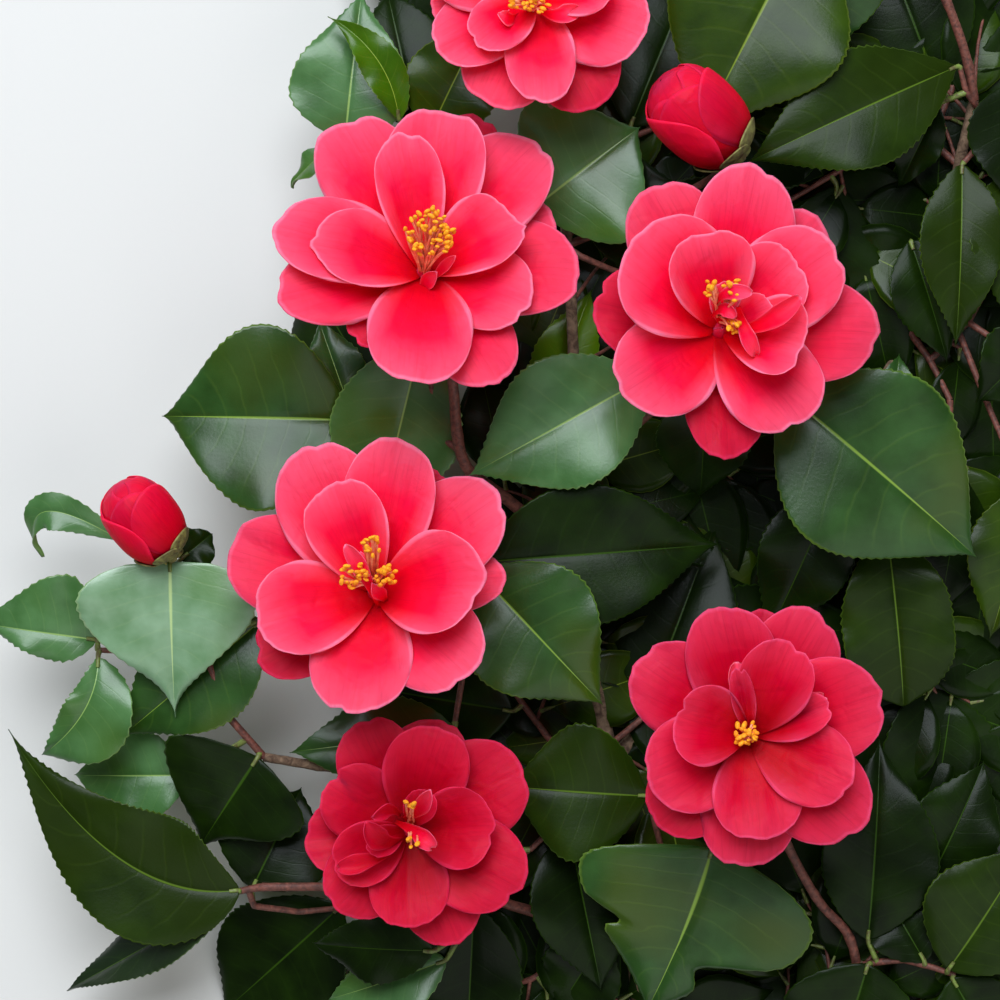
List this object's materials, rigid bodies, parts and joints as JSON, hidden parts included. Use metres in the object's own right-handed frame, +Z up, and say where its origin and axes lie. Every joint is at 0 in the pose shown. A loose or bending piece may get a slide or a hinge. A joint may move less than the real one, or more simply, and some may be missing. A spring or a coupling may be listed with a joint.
{
  "type": "flowering camellia branch",
  "caption": "Cut flowering camellia branch with double coral-red blooms, fat buds and glossy toothed leaves, lying face up.",
  "frame": {"origin": "middle of the branch's outline on the surface it lies on", "axes": "+Z up to the faces of the blooms, +Y from the cut end of the stem along the branch, +X to the right of someone who looks down on it"},
  "size_m": [0.4495, 0.5341, 0.1318],
  "materials": {
    "bark": "thin matt brown bark",
    "blossom": "soft satin petals",
    "bud": "tight satin petals",
    "foliage": "waxy gloss"
  },
  "bodies": {
    "root": {"main_stem": "bark", "bough_upper_left": "bark", "bough_upper_right": "bark", "bough_top": "bark", "shoot_bud_top": "bark", "bough_right": "bark", "shoot_right": "bark", "bough_low_right": "bark", "shoot_low_right": "bark", "bough_middle_left": "bark", "bough_lower_left": "bark", "bough_low_left": "bark", "bough_left": "bark", "bloom_upper_left": "blossom", "bloom_upper_right": "blossom", "bloom_middle_left": "blossom", "bloom_lower_left": "blossom", "bloom_lower_right": "blossom", "bloom_top": "blossom", "bud_left": "bud", "bud_top": "bud", "leaves_left": "foliage", "leaves_low_left": "foliage", "leaves_low": "foliage", "leaves_middle": "foliage", "leaves_upper_left": "foliage", "leaves_top_left": "foliage", "leaves_top": "foliage", "leaves_above": "foliage", "leaves_top_right": "foliage", "leaves_right": "foliage", "leaves_centre": "foliage", "leaves_right_middle": "foliage", "leaves_right_edge": "foliage", "leaves_low_right": "foliage", "underleaves_top": "foliage", "underleaves_top_right": "foliage", "underleaves_centre": "foliage", "underleaves_right": "foliage", "underleaves_middle": "foliage", "underleaves_low_right": "foliage", "underleaves_low": "foliage", "underleaves_inner": "foliage", "leaves_low_centre": "foliage"}
  },
  "joints": []
}
